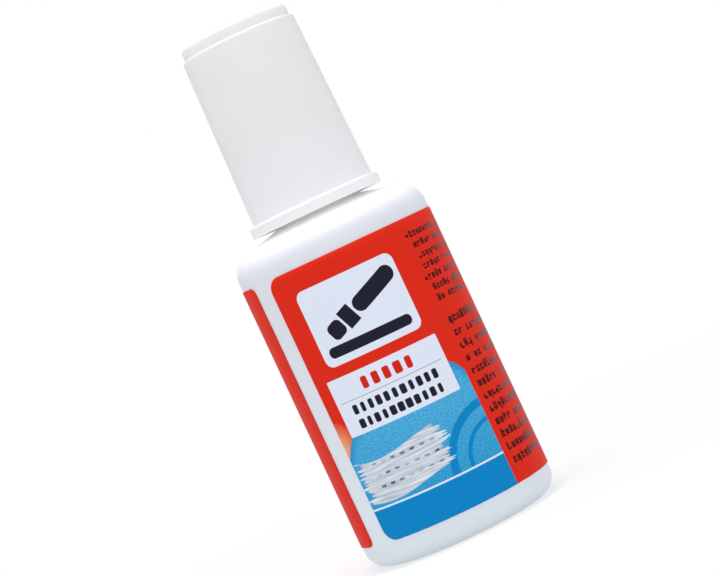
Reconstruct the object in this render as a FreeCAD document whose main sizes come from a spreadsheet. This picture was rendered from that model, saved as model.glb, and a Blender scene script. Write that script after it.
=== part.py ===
import FreeCAD, Part
import math
import os
import Sketcher

# Correction fluid bottle with a brush in its cap, in millimetres.
# It stands on z = 0 with its axis on the z axis; the front of the label faces -y.

doc = FreeCAD.newDocument("correction_fluid_bottle")

# Driving dimensions
SIZES = {
    # bottle
    "body_radius": 14.0,
    "shoulder_edge_height": 46.0,
    "shoulder_rise": 2.2,
    "neck_length": 10.0,
    "neck_radius": 5.8,
    "neck_bore_radius": 4.7,
    "wall": 0.9,
    "floor_thickness": 1.0,
    "foot_recess_depth": 0.6,
    "foot_ring_width": 2.0,
    "foot_fillet": 2.8,
    "shoulder_fillet": 3.1,
    "neck_fillet": 1.0,
    "rim_fillet": 0.25,
    # label
    "label_thickness": 0.1,
    "label_foot_margin": 3.8,
    "label_top_margin": 3.72,
    "label_gap_width": 3.54,
    "label_gap_angle": -53.45,
    "label_corner_radius": 2.0,
    "glue_gap": 0.02,
    # wiper in the neck
    "wiper_flange": 0.7,
    "wiper_wall": 0.65,
    "wiper_barrel_length": 3.2,
    "wiper_funnel_depth": 2.6,
    "wiper_hole_radius": 2.15,
    # washer
    "washer_thickness": 0.9,
    "washer_inner_radius": 3.4,
    "washer_side_gap": 0.2,
    # screw closure
    "thread_room": 1.05,
    "closure_wall": 0.65,
    "closure_raise": 0.9,
    "closure_plate": 1.3,
    "spline_height": 0.23,
    "spline_width": 0.8,
    "spline_count": 24,
    "bead_height": 0.3,
    "bead_drop": 0.15,
    "boss_height": 6.2,
    "boss_wall": 0.95,
    # cap
    "cap_wall": 1.14,
    "cap_flange_width": 0.72,
    "cap_flange_height": 1.52,
    "cap_skirt_height": 25.94,
    "cap_taper": 0.6,
    "crown_step": 0.47,
    "crown_height": 1.66,
    "cap_top_wall": 1.2,
    "cap_seat_width": 0.45,
    "cap_rib_thickness": 0.9,
    "cap_rib_count": 6,
    "cap_rib_root": 0.3,
    "flange_fillet": 0.3,
    "flange_foot_fillet": 0.15,
    "skirt_fillet": 0.35,
    "crown_fillet": 0.45,
    # brush
    "stem_head_radius": 2.2,
    "stem_head_length": 5.6,
    "barb_depth": 0.25,
    "barb_pitch": 1.4,
    "collar_radius": 2.9,
    "collar_thickness": 0.7,
    "stem_top_radius": 1.75,
    "stem_tip_radius": 1.55,
    "tuft_hole_radius": 1.05,
    "tuft_hole_depth": 4.6,
    "bristle_length": 14.0,
    "bristle_belly_radius": 1.5,
    "bristle_belly_length": 8.0,
    "bristle_point_radius": 0.55,
    "bristle_point_fillet": 0.35,
    "brush_floor_gap": 2.4,
    "anchor_length": 2.7,
    "anchor_width": 0.9,
    "anchor_thickness": 0.25,
    "anchor_raise": 2.9,
    # contents
    "air_space": 5.8,
    "brush_channel_gap": 0.8,
    "ball_radius": 2.4,
    "ball_wall_gap": 1.2,
    "wetting_gap": 0.05,
    # fits
    "press_gap": 0.02,
}

sheet = doc.addObject("Spreadsheet::Sheet", "Sizes")
for row, (alias, number) in enumerate(SIZES.items(), start=1):
    sheet.set("A%d" % row, alias)
    sheet.set("B%d" % row, str(number))
    sheet.setAlias("B%d" % row, alias)
doc.recompute()

# Levels and radii that several pieces share, as sums of the driving dimensions
FLOOR = "foot_recess_depth + floor_thickness"
INNER_RADIUS = "body_radius - wall"
NECK_FOOT = "shoulder_edge_height + shoulder_rise"
NECK_RIM = NECK_FOOT + " + neck_length"
WIPER_TOP = NECK_RIM + " + wiper_flange"
CLOSURE_CEILING = WIPER_TOP + " + washer_thickness"
CLOSURE_TOP = CLOSURE_CEILING + " + closure_plate"
CLOSURE_BORE = "neck_radius + thread_room"
CLOSURE_RADIUS = CLOSURE_BORE + " + closure_wall"
SPLINE_RADIUS = CLOSURE_RADIUS + " + spline_height"
BOSS_BORE = "stem_head_radius + press_gap"
BOSS_RADIUS = BOSS_BORE + " + boss_wall"
CAP_BORE = SPLINE_RADIUS + " + press_gap"
CAP_CHAMBER = CAP_BORE + " - cap_seat_width"
SKIRT_RADIUS = CAP_BORE + " + cap_wall"
SKIRT_TOP_RADIUS = SKIRT_RADIUS + " - cap_taper"
SKIRT_TOP = NECK_FOOT + " + cap_skirt_height"
CROWN_TOP = SKIRT_TOP + " + crown_height"
CROWN_RADIUS = SKIRT_TOP_RADIUS + " - crown_step"
CAP_CEILING = CROWN_TOP + " - cap_top_wall"
BRISTLE_TIP = FLOOR + " + brush_floor_gap"
STEM_TIP = BRISTLE_TIP + " + bristle_length"
TUFT_TOP = STEM_TIP + " + tuft_hole_depth"
ANCHOR_FOOT = STEM_TIP + " + anchor_raise"
FLUID_TOP = "shoulder_edge_height - air_space"


def factors(term):
    """Split a term such as 2*barb_pitch into its number and its size's name."""
    if "*" in term:
        number, name = term.split("*")
        return float(number), name
    return 1.0, term


def amount(text):
    """Value of a sum of named sizes, such as body_radius - wall."""
    total = 0.0
    sign = 1.0
    for term in text.split():
        if term in "+-":
            sign = 1.0 if term == "+" else -1.0
            continue
        number, name = factors(term)
        total += sign * number * SIZES[name]
        sign = 1.0
    return total


def formula(text):
    """The same sum as an expression on the sheet's cells."""
    words = []
    for term in text.split():
        if term in "+-":
            words.append(term)
            continue
        number, name = factors(term)
        words.append("Sizes.%s" % name if number == 1.0 else "%g * Sizes.%s" % (number, name))
    return " ".join(words)


def new_body(label):
    body = doc.addObject("PartDesign::Body", label)
    body.Label = label
    return body


def origin_feature(body, role):
    return [item for item in body.Origin.OriginFeatures if item.Role == role][0]


def bind_point(sketch, geometry, position, across, along):
    """Hold one end of an edge at its two coordinates; an empty text is the axis."""
    if across:
        number = sketch.addConstraint(
            Sketcher.Constraint("DistanceX", -1, 1, geometry, position, amount(across)))
        sketch.setExpression("Constraints[%d]" % number, formula(across))
    else:
        sketch.addConstraint(Sketcher.Constraint("PointOnObject", geometry, position, -2))
    if along:
        number = sketch.addConstraint(
            Sketcher.Constraint("DistanceY", -1, 1, geometry, position, amount(along)))
        sketch.setExpression("Constraints[%d]" % number, formula(along))
    else:
        sketch.addConstraint(Sketcher.Constraint("PointOnObject", geometry, position, -1))


def arc_between(start, end, centre):
    """Arc by the shorter way, and which of its ends lies at the start."""
    first = math.atan2(start.y - centre.y, start.x - centre.x)
    last = math.atan2(end.y - centre.y, end.x - centre.x)
    circle = Part.Circle(centre, FreeCAD.Vector(0, 0, 1), start.distanceToPoint(centre))
    if (last - first) % (2 * math.pi) < math.pi:
        return Part.ArcOfCircle(circle, first, last), 1
    return Part.ArcOfCircle(circle, last, first), 2


def outline_sketch(body, name, corners):
    """Closed outline in the body's XZ plane.

    A corner is (across, along); with the centre's two coordinates after it, the edge
    that leaves it is an arc.
    """
    sketch = body.newObject("Sketcher::SketchObject", name)
    sketch.AttachmentSupport = [(origin_feature(body, "XZ_Plane"), "")]
    sketch.MapMode = "FlatFace"
    points = [FreeCAD.Vector(amount(corner[0]), amount(corner[1]), 0) for corner in corners]
    starts = []
    for index, point in enumerate(points):
        following = points[(index + 1) % len(points)]
        if len(corners[index]) == 2:
            sketch.addGeometry(Part.LineSegment(point, following), False)
            starts.append(1)
            continue
        across, along = corners[index][2:]
        arc, start = arc_between(point, following, FreeCAD.Vector(amount(across), amount(along), 0))
        sketch.addGeometry(arc, False)
        starts.append(start)
    for index, corner in enumerate(corners):
        before = (index - 1) % len(corners)
        sketch.addConstraint(
            Sketcher.Constraint("Coincident", before, 3 - starts[before], index, starts[index]))
        bind_point(sketch, index, starts[index], corner[0], corner[1])
        if len(corner) == 4:
            number = sketch.addConstraint(
                Sketcher.Constraint("DistanceX", -1, 1, index, 3, amount(corner[2])))
            sketch.setExpression("Constraints[%d]" % number, formula(corner[2]))
    return sketch


def revolve(body, name, corners, kind="PartDesign::Revolution"):
    """Turn an outline about the z axis, as a solid or as a groove."""
    sketch = outline_sketch(body, name + "_outline", corners)
    turned = body.newObject(kind, name)
    turned.Profile = sketch
    turned.ReferenceAxis = (sketch, ["V_Axis"])
    turned.Angle = 360
    doc.recompute()
    return turned


def ring_edge(feature, radius, height):
    """Name of the circular edge at a radius and a height."""
    nearest = None
    for index, edge in enumerate(feature.Shape.Edges, start=1):
        if not isinstance(edge.Curve, Part.Circle):
            continue
        centre = edge.Curve.Center
        miss = abs(edge.Curve.Radius - amount(radius)) + abs(centre.z - amount(height))
        if nearest is None or miss < nearest[0]:
            nearest = (miss, "Edge%d" % index)
    return nearest[1]


def round_rings(body, name, rings, radius):
    """Fillet circular edges, each given by its radius and height."""
    base = body.Tip
    fillet = body.newObject("PartDesign::Fillet", name)
    fillet.Base = (base, [ring_edge(base, ring[0], ring[1]) for ring in rings])
    fillet.Radius = amount(radius)
    fillet.setExpression("Radius", formula(radius))
    doc.recompute()
    return fillet


def minus(text):
    """The same sum with every sign after its first term turned, to stand after a minus."""
    return text.replace(" + ", " - ")


def cut_through(body, name, corners, depth):
    """Pocket of an outline in the XZ plane, towards the front only."""
    sketch = outline_sketch(body, name + "_outline", corners)
    pocket = body.newObject("PartDesign::Pocket", name)
    pocket.Profile = sketch
    pocket.Reversed = True
    pocket.setExpression("Length", formula(depth))
    doc.recompute()
    return pocket


def plate(body, name, kind, corners, thickness):
    """Pad or pocket of an outline in the XZ plane, half to each side."""
    sketch = outline_sketch(body, name + "_outline", corners)
    feature = body.newObject(kind, name)
    feature.Profile = sketch
    feature.Midplane = True
    feature.Length = amount(thickness)
    feature.setExpression("Length", formula(thickness))
    doc.recompute()
    return feature


def repeat_round(body, name, feature, count):
    """Repeat a feature round the z axis."""
    pattern = body.newObject("PartDesign::PolarPattern", name)
    pattern.Originals = [feature]
    pattern.Axis = (origin_feature(body, "Z_Axis"), [""])
    pattern.Angle = 360
    pattern.Occurrences = int(SIZES[count])
    pattern.setExpression("Occurrences", "Sizes.%s" % count)
    body.Tip = pattern
    doc.recompute()
    return pattern


def make_bottle():
    """Blown bottle: recessed foot, straight wall, sloping shoulder and open neck."""
    body = new_body("bottle")
    ring_inside = "body_radius - foot_fillet - foot_ring_width"
    revolve(body, "bottle_outside", [
        ("", "foot_recess_depth"),
        (ring_inside + " - foot_recess_depth", "foot_recess_depth"),
        (ring_inside, ""),
        ("body_radius", ""),
        ("body_radius", "shoulder_edge_height"),
        ("neck_radius", NECK_FOOT),
        ("neck_radius", NECK_RIM),
        ("", NECK_RIM)])
    round_rings(body, "foot_corner", [("body_radius", "")], "foot_fillet")
    round_rings(body, "shoulder_corner", [("body_radius", "shoulder_edge_height")], "shoulder_fillet")
    round_rings(body, "neck_root", [("neck_radius", NECK_FOOT)], "neck_fillet")
    revolve(body, "bottle_inside", [
        ("", FLOOR),
        (INNER_RADIUS, FLOOR),
        (INNER_RADIUS, "shoulder_edge_height - wall"),
        ("neck_bore_radius", NECK_FOOT + " - wall"),
        ("neck_bore_radius", NECK_RIM + " + wall"),
        ("", NECK_RIM + " + wall")], "PartDesign::Groove")
    round_rings(body, "inner_foot_corner", [(INNER_RADIUS, FLOOR)], "foot_fillet - wall")
    round_rings(body, "inner_shoulder_corner", [(INNER_RADIUS, "shoulder_edge_height - wall")],
                "shoulder_fillet - wall")
    round_rings(body, "neck_rim_edge", [("neck_radius", NECK_RIM)], "rim_fillet")
    return body


def make_label():
    """Film wrapped round the wall; its two ends leave a narrow gap left of the front."""
    body = new_body("label")
    inner = "body_radius + glue_gap"
    outer = inner + " + label_thickness"
    foot = "label_foot_margin"
    top = "shoulder_edge_height - label_top_margin"
    revolve(body, "label_wrap", [(inner, foot), (outer, foot), (outer, top), (inner, top)])
    side = "0.5*label_gap_width"
    flare = side + " + label_corner_radius"
    low = foot + " + label_corner_radius"
    high = top + " - label_corner_radius"
    cut_through(body, "label_gap", [
        (side, low),
        (side, high, flare, high),
        (flare, top),
        (flare, top + " + label_corner_radius"),
        ("- " + minus(flare), top + " + label_corner_radius"),
        ("- " + minus(flare), top, "- " + minus(flare), high),
        ("- " + side, high),
        ("- " + side, low, "- " + minus(flare), low),
        ("- " + minus(flare), foot),
        ("- " + minus(flare), foot + " - label_corner_radius"),
        (flare, foot + " - label_corner_radius"),
        (flare, foot, flare, low)], "2*body_radius")
    body.setExpression("Placement.Rotation.Angle", "Sizes.label_gap_angle")
    return body


def make_neck_wiper():
    """Plug with a flange on the neck's rim and a funnel down to the wiping hole."""
    body = new_body("neck_wiper")
    outer = "neck_bore_radius - press_gap"
    inner = outer + " - wiper_wall"
    bend = NECK_RIM + " - wiper_barrel_length"
    foot = bend + " - wiper_funnel_depth"
    revolve(body, "wiper", [
        ("wiper_hole_radius", foot),
        ("wiper_hole_radius + wiper_wall", foot),
        (outer, bend),
        (outer, NECK_RIM),
        ("neck_radius", NECK_RIM),
        ("neck_radius", WIPER_TOP),
        (inner, WIPER_TOP),
        (inner, bend),
        ("wiper_hole_radius", foot + " + wiper_wall")])
    return body


def make_seal_washer():
    """Soft flat ring round the stem, squeezed between closure and wiper flange."""
    body = new_body("seal_washer")
    outer = CLOSURE_BORE + " - washer_side_gap"
    revolve(body, "washer", [
        ("washer_inner_radius", WIPER_TOP),
        (outer, WIPER_TOP),
        (outer, CLOSURE_CEILING),
        ("washer_inner_radius", CLOSURE_CEILING)])
    return body


def make_screw_closure():
    """Threaded sleeve with a top plate, a socket for the stem and splines for the cap."""
    body = new_body("screw_closure")
    foot = NECK_FOOT + " + closure_raise"
    bead_top = WIPER_TOP + " - bead_drop"
    bead_radius = CLOSURE_BORE + " - bead_height"
    revolve(body, "closure", [
        (CLOSURE_BORE, foot),
        (CLOSURE_RADIUS, foot),
        (CLOSURE_RADIUS, CLOSURE_TOP),
        (BOSS_RADIUS, CLOSURE_TOP),
        (BOSS_RADIUS, CLOSURE_TOP + " + boss_height"),
        (BOSS_BORE, CLOSURE_TOP + " + boss_height"),
        (BOSS_BORE, CLOSURE_CEILING),
        (CLOSURE_BORE, CLOSURE_CEILING),
        (CLOSURE_BORE, bead_top),
        (bead_radius, bead_top + " - bead_height"),
        (CLOSURE_BORE, bead_top + " - 2*bead_height")])
    spline = plate(body, "spline", "PartDesign::Pad", [
        (CLOSURE_BORE + " + press_gap", foot),
        (SPLINE_RADIUS, foot + " + spline_height"),
        (SPLINE_RADIUS, CLOSURE_TOP + " - spline_height"),
        (CLOSURE_BORE + " + press_gap", CLOSURE_TOP)], "spline_width")
    repeat_round(body, "splines", spline, "spline_count")
    return body


def make_cap():
    """Smooth tapered handle: flange at its foot, stepped crown, ribs in its chamber."""
    body = new_body("cap")
    flange_radius = SKIRT_RADIUS + " + cap_flange_width"
    flange_top = NECK_FOOT + " + cap_flange_height"
    revolve(body, "cap_shell", [
        (CAP_BORE, NECK_FOOT),
        (flange_radius, NECK_FOOT),
        (flange_radius, flange_top),
        (SKIRT_RADIUS, flange_top),
        (SKIRT_TOP_RADIUS, SKIRT_TOP),
        (CROWN_RADIUS, SKIRT_TOP),
        (CROWN_RADIUS, CROWN_TOP),
        ("", CROWN_TOP),
        ("", CAP_CEILING),
        (CAP_CHAMBER + " - cap_seat_width", CAP_CEILING),
        (CAP_CHAMBER, CLOSURE_TOP),
        (CAP_BORE, CLOSURE_TOP)])
    rib = plate(body, "cap_rib", "PartDesign::Pad", [
        (BOSS_RADIUS + " + press_gap", CLOSURE_TOP + " + cap_rib_root"),
        (CAP_CHAMBER, CLOSURE_TOP + " + cap_rib_root"),
        (CAP_CHAMBER, CAP_CEILING + " + cap_rib_root"),
        (BOSS_RADIUS + " + press_gap", CAP_CEILING + " + cap_rib_root")], "cap_rib_thickness")
    repeat_round(body, "cap_ribs", rib, "cap_rib_count")
    round_rings(body, "flange_edge", [(flange_radius, flange_top)], "flange_fillet")
    round_rings(body, "flange_foot_edge", [(flange_radius, NECK_FOOT)], "flange_foot_fillet")
    round_rings(body, "skirt_edge", [(SKIRT_TOP_RADIUS, SKIRT_TOP)], "skirt_fillet")
    round_rings(body, "crown_edge", [(CROWN_RADIUS, CROWN_TOP)], "crown_fillet")
    return body


def anchor_slot(body, name):
    """Slot for the flat wire, cut across the stem's end or the bristles."""
    right = "press_gap + 0.5*anchor_length"
    left = "- " + minus(right)
    foot = ANCHOR_FOOT + " - press_gap"
    top = ANCHOR_FOOT + " + anchor_width + press_gap"
    return plate(body, name, "PartDesign::Pocket", [
        (left, foot), (right, foot), (right, top), (left, top)], "anchor_thickness + 2*press_gap")


def make_brush_stem():
    """Tapered rod: barbed head in the closure, collar over the neck, hole for the tuft."""
    body = new_body("brush_stem")
    barb_foot = CLOSURE_CEILING + " + barb_pitch"
    corners = [("", TUFT_TOP),
               ("tuft_hole_radius", TUFT_TOP),
               ("tuft_hole_radius", STEM_TIP),
               ("stem_tip_radius", STEM_TIP),
               ("stem_top_radius", CLOSURE_CEILING + " - collar_thickness"),
               ("collar_radius", CLOSURE_CEILING + " - collar_thickness"),
               ("collar_radius", CLOSURE_CEILING),
               ("stem_head_radius", CLOSURE_CEILING)]
    for barb in range(3):
        level = barb_foot + " + %d*barb_pitch" % barb
        corners.append(("stem_head_radius", level))
        corners.append(("stem_head_radius - barb_depth", level))
    corners.append(("stem_head_radius - barb_depth", CLOSURE_CEILING + " + stem_head_length"))
    corners.append(("", CLOSURE_CEILING + " + stem_head_length"))
    revolve(body, "stem", corners)
    anchor_slot(body, "stem_slot")
    return body


def make_brush_bristles():
    """Bundle of bristles: straight in its hole, swelling below it, brought to a point."""
    body = new_body("brush_bristles")
    root = "tuft_hole_radius - press_gap"
    belly = STEM_TIP + " - bristle_belly_length"
    revolve(body, "tuft", [
        ("", BRISTLE_TIP),
        ("bristle_point_radius", BRISTLE_TIP),
        ("bristle_belly_radius", belly),
        (root, STEM_TIP),
        (root, TUFT_TOP + " - press_gap"),
        ("", TUFT_TOP + " - press_gap")])
    round_rings(body, "tuft_belly", [("bristle_belly_radius", belly)], "bristle_belly_length")
    round_rings(body, "tuft_point", [("bristle_point_radius", BRISTLE_TIP)], "bristle_point_fillet")
    anchor_slot(body, "tuft_slot")
    return body


def make_bristle_anchor():
    """Flat wire pressed across the stem's end, through the fold of the bristles."""
    wire = doc.addObject("Part::Box", "bristle_anchor")
    wire.Label = "bristle_anchor"
    wire.setExpression("Length", "Sizes.anchor_length")
    wire.setExpression("Width", "Sizes.anchor_thickness")
    wire.setExpression("Height", "Sizes.anchor_width")
    wire.setExpression("Placement.Base.x", "-0.5 * Sizes.anchor_length")
    wire.setExpression("Placement.Base.y", "-0.5 * Sizes.anchor_thickness")
    wire.setExpression("Placement.Base.z", formula(ANCHOR_FOOT))
    return wire


def ball(name, extra):
    """Ball on the bottle's floor, right of the brush; extra widens it into its pocket."""
    sphere = doc.addObject("Part::Sphere", name)
    sphere.Label = name
    sphere.setExpression("Radius", formula("ball_radius" + extra))
    sphere.setExpression("Placement.Base.x", formula(INNER_RADIUS + " - ball_wall_gap - ball_radius"))
    sphere.setExpression("Placement.Base.z", formula(FLOOR + " + ball_radius + wetting_gap"))
    return sphere


def make_mixing_ball():
    """Steel ball lying on the bottle's floor."""
    return ball("mixing_ball", "")


def make_correction_fluid():
    """The liquid: fills the bottle to below its shoulder, parted round brush and ball."""
    body = doc.addObject("PartDesign::Body", "fluid_fill")
    body.Label = "fluid_fill"
    side = INNER_RADIUS + " - wetting_gap"
    foot = FLOOR + " + wetting_gap"
    channel = "bristle_belly_radius + brush_channel_gap"
    channel_foot = BRISTLE_TIP + " - brush_channel_gap"
    revolve(body, "fill", [
        ("", foot),
        (side, foot),
        (side, FLUID_TOP),
        (channel, FLUID_TOP),
        (channel, channel_foot),
        ("", channel_foot)])
    round_rings(body, "fill_corner", [(side, foot)], "foot_fillet - wall")
    fluid = doc.addObject("Part::Cut", "correction_fluid")
    fluid.Label = "correction_fluid"
    fluid.Base = body
    fluid.Tool = ball("ball_pocket", " + wetting_gap")
    return fluid


pieces = [
    make_bottle(),
    make_label(),
    make_neck_wiper(),
    make_seal_washer(),
    make_screw_closure(),
    make_cap(),
    make_brush_stem(),
    make_brush_bristles(),
    make_bristle_anchor(),
    make_mixing_ball(),
    make_correction_fluid(),
]
doc.recompute()

for item in doc.Objects:
    if "Invalid" in item.State or "Error" in item.State:
        raise RuntimeError("%s did not build: %s" % (item.Name, item.State))
for piece in pieces:
    if piece.Shape.isNull() or not piece.Shape.isValid():
        raise RuntimeError("%s has no valid shape" % piece.Label)

os.makedirs("parts", exist_ok=True)
for piece in pieces:
    piece.Shape.exportStep("parts/%s.step" % piece.Label)
    print(piece.Label, len(piece.Shape.Solids), "solid", round(piece.Shape.Volume, 2), "mm3")
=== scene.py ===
import bpy
import bmesh
import math
import numpy as np
from mathutils import Matrix, Vector


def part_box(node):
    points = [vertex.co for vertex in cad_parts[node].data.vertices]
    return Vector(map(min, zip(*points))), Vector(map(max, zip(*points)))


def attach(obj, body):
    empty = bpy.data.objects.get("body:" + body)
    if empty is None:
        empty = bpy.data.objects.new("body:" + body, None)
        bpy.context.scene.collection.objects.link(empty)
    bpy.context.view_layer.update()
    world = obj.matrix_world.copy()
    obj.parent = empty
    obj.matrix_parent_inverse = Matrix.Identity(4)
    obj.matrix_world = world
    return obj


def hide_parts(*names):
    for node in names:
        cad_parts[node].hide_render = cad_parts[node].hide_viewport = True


# Correction fluid bottle: round white bottle, red and blue wrap label, tall white brush cap.
# Lengths in the dictionaries are millimetres; z is up and the label's front faces -y.

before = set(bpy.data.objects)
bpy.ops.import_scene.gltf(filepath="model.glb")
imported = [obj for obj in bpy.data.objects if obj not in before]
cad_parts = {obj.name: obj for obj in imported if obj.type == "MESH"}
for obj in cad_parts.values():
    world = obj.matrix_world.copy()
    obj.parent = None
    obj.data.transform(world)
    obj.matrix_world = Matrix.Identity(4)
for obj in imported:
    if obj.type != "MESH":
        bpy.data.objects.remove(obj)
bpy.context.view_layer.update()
mm = 0.001
print("frame loaded with", len(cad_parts), "nodes")


def nodeBox(name):
    # lowest and highest corner of a node, in millimetres
    low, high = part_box(name)
    return np.array(low) / mm, np.array(high) / mm


# Surfaces worked out with numpy

def putMesh(name, points, faces, uv=None):
    # points (n, 3) in millimetres and quads (m, 4) become one object, poles and seams welded
    mesh = bpy.data.meshes.new(name)
    mesh.vertices.add(len(points))
    mesh.vertices.foreach_set("co", (points * mm).astype(np.float32).ravel())
    mesh.loops.add(faces.size)
    mesh.loops.foreach_set("vertex_index", faces.astype(np.int32).ravel())
    mesh.polygons.add(len(faces))
    mesh.polygons.foreach_set("loop_start", np.arange(0, faces.size, 4, dtype=np.int32))
    mesh.update(calc_edges=True)
    if uv is not None:
        layer = mesh.uv_layers.new(name="wrap")
        layer.data.foreach_set("uv", uv[faces.ravel()].astype(np.float32).ravel())
    shell = bmesh.new()
    shell.from_mesh(mesh)
    bmesh.ops.remove_doubles(shell, verts=shell.verts, dist=1e-7)
    bmesh.ops.recalc_face_normals(shell, faces=shell.faces)
    for face in shell.faces:
        face.smooth = True
    shell.to_mesh(mesh)
    shell.free()
    piece = bpy.data.objects.new(name, mesh)
    bpy.context.scene.collection.objects.link(piece)
    return piece


def gridFaces(rows, columns, rowLoop=False, columnLoop=False):
    # quads of a grid of rows x columns points; a loop joins its last line to its first
    i, j = np.meshgrid(np.arange(rows if rowLoop else rows - 1),
                       np.arange(columns if columnLoop else columns - 1), indexing="ij")
    i2 = (i + 1) % rows
    j2 = (j + 1) % columns
    corners = [i * columns + j, i * columns + j2, i2 * columns + j2, i2 * columns + j]
    return np.stack(corners, axis=-1).reshape(-1, 4)


def roundCorners(corners, steps):
    # each corner (r, z, radius) becomes an arc tangent to its two edges: it begins
    # radius / tan(half the angle) before the corner and its centre lies on the bisector
    line = []
    for k, (r, z, radius) in enumerate(corners):
        here = np.array([r, z], float)
        if radius == 0:
            line.append(here)
            continue
        before = np.array(corners[k - 1][:2]) - here
        after = np.array(corners[(k + 1) % len(corners)][:2]) - here
        before /= np.linalg.norm(before)
        after /= np.linalg.norm(after)
        half = 0.5 * math.acos(np.clip(before @ after, -1, 1))
        bisector = before + after
        centre = here + bisector / np.linalg.norm(bisector) * radius / math.sin(half)
        first = here + before * radius / math.tan(half) - centre
        last = here + after * radius / math.tan(half) - centre
        start = math.atan2(first[1], first[0])
        turn = (math.atan2(last[1], last[0]) - start + math.pi) % (2 * math.pi) - math.pi
        angles = start + turn * np.linspace(0, 1, steps + 1)
        line.extend(centre + radius * np.stack([np.cos(angles), np.sin(angles)], axis=1))
    return np.array(line)


def addStations(line, longest):
    # the same line with points no further apart than longest, by straight steps along it
    reach = np.concatenate([[0], np.cumsum(np.linalg.norm(np.diff(line, axis=0), axis=1))])
    pieces = [np.linspace(a, b, max(2, int(math.ceil((b - a) / longest)) + 1))[:-1]
              for a, b in zip(reach[:-1], reach[1:]) if b > a]
    along = np.concatenate(pieces + [reach[-1:]])
    return np.stack([np.interp(along, reach, line[:, 0]), np.interp(along, reach, line[:, 1])], axis=1)


def turnProfile(name, line, turns, closed=False, ripple=None):
    # surface of revolution: (r, z) goes to (r cos a, r sin a, z); ripple(a, r, z) is added to r
    angle = np.linspace(0, 2 * np.pi, turns, endpoint=False)
    r, a = np.meshgrid(line[:, 0], angle, indexing="ij")
    z = np.repeat(line[:, 1:2], turns, axis=1)
    if ripple is not None:
        r = r + ripple(a, r, z)
    points = np.stack([r * np.cos(a), r * np.sin(a), z], axis=-1).reshape(-1, 3)
    return putMesh(name, points, gridFaces(len(line), turns, rowLoop=closed, columnLoop=True))


def sweepRidge(name, root, foot, spec):
    # thread ridge: at angle a its middle is at z = foot + pitch a / 2 pi; across it stands from
    # root towards crest as a rounded trapezoid, which fades to nothing at both ends
    turns, least = spec["turns"], 0.02
    angle = np.linspace(0, 2 * np.pi * turns, int(spec["steps"] * turns) + 1)
    t = angle / angle[-1]
    rise = smoothStep(np.minimum(t, 1 - t) * turns / spec["fade"])
    across = np.array([(-0.5, 0.0), (-0.46, 0.25), (-0.30, 0.80), (-0.20, 0.97), (0.0, 1.0),
                       (0.20, 0.97), (0.30, 0.80), (0.46, 0.25), (0.5, 0.0), (0.0, -0.15)])
    r = root + (spec["crest"] - root) * across[None, :, 1] * (least + (1 - least) * rise[:, None])
    z = foot + spec["pitch"] * angle[:, None] / (2 * np.pi) + spec["width"] * across[None, :, 0]
    x = r * np.cos(angle)[:, None]
    y = r * np.sin(angle)[:, None]
    points = np.stack([x, y, z], axis=-1).reshape(-1, 3)
    return putMesh(name, points, gridFaces(len(angle), len(across), columnLoop=True))


def smoothStep(t):
    # 3 t^2 - 2 t^3 between 0 and 1, flat outside
    t = np.clip(t, 0, 1)
    return t * t * (3 - 2 * t)


# Shader building

def feed(tree, socket, value):
    # an input takes either the socket that feeds it or a fixed value
    if isinstance(value, bpy.types.NodeSocket):
        tree.links.new(value, socket)
    else:
        socket.default_value = value


def node(tree, kind, **settings):
    # one shader node; a setting in_Name or in_0 goes to the input of that name or number
    made = tree.nodes.new("ShaderNode" + kind)
    for key, value in settings.items():
        if key.startswith("in_"):
            title = key[3:].replace("_", " ")
            feed(tree, made.inputs[int(title) if title.isdigit() else title], value)
        else:
            setattr(made, key, value)
    return made


def maths(tree, operation, *values, clamp=False):
    # result of one sum on numbers or sockets
    made = tree.nodes.new("ShaderNodeMath")
    made.operation = operation
    made.use_clamp = clamp
    for socket, value in zip(made.inputs, values):
        feed(tree, socket, value)
    return made.outputs[0]


def plus(tree, a, b, **more):
    # a + b
    return maths(tree, "ADD", a, b, **more)


def minus(tree, a, b, **more):
    # a - b
    return maths(tree, "SUBTRACT", a, b, **more)


def times(tree, a, b, **more):
    # a b
    return maths(tree, "MULTIPLY", a, b, **more)


def scaled(tree, value, rate, start, clamp=False):
    # start + rate value
    return maths(tree, "MULTIPLY_ADD", value, rate, start, clamp=clamp)


def softStep(tree, value, rate, start=0.5):
    # start + rate value, kept between 0 and 1; of a distance it is a soft edge where that is 0
    return scaled(tree, value, rate, start, clamp=True)


def noise(tree, place, scale, detail=2.0):
    # noise between 0 and 1 at a place
    made = node(tree, "TexNoise", in_Vector=place, in_Scale=scale, in_Detail=detail)
    return made.outputs["Fac"]


def mixColour(tree, below, above, mask):
    # below where the mask is 0, above where it is 1
    made = tree.nodes.new("ShaderNodeMix")
    made.data_type = "RGBA"
    for number, value in ((0, mask), (6, below), (7, above)):
        feed(tree, made.inputs[number], value)
    return made.outputs[2]


def newGroup(name, inputs, outputs):
    # node group with inputs {name: number, or None for a place} and number outputs; gives the
    # group, its inputs by name and its outputs by name
    group = bpy.data.node_groups.new(name, "ShaderNodeTree")
    for title, value in inputs.items():
        kind = "NodeSocketVector" if value is None else "NodeSocketFloat"
        socket = group.interface.new_socket(name=title, in_out="INPUT", socket_type=kind)
        if value is not None:
            socket.default_value = value
    for title in outputs:
        group.interface.new_socket(name=title, in_out="OUTPUT", socket_type="NodeSocketFloat")
    start = group.nodes.new("NodeGroupInput")
    end = group.nodes.new("NodeGroupOutput")
    return group, {socket.name: socket for socket in start.outputs if socket.name}, end.inputs


def feedAll(tree, target, values):
    # several inputs of one node by their names
    for title, value in values.items():
        feed(tree, target.inputs[title], value)


def useGroup(tree, group, **values):
    # the group placed in a tree with this use's own values
    made = tree.nodes.new("ShaderNodeGroup")
    made.node_tree = group
    feedAll(tree, made, values)
    return made


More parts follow.
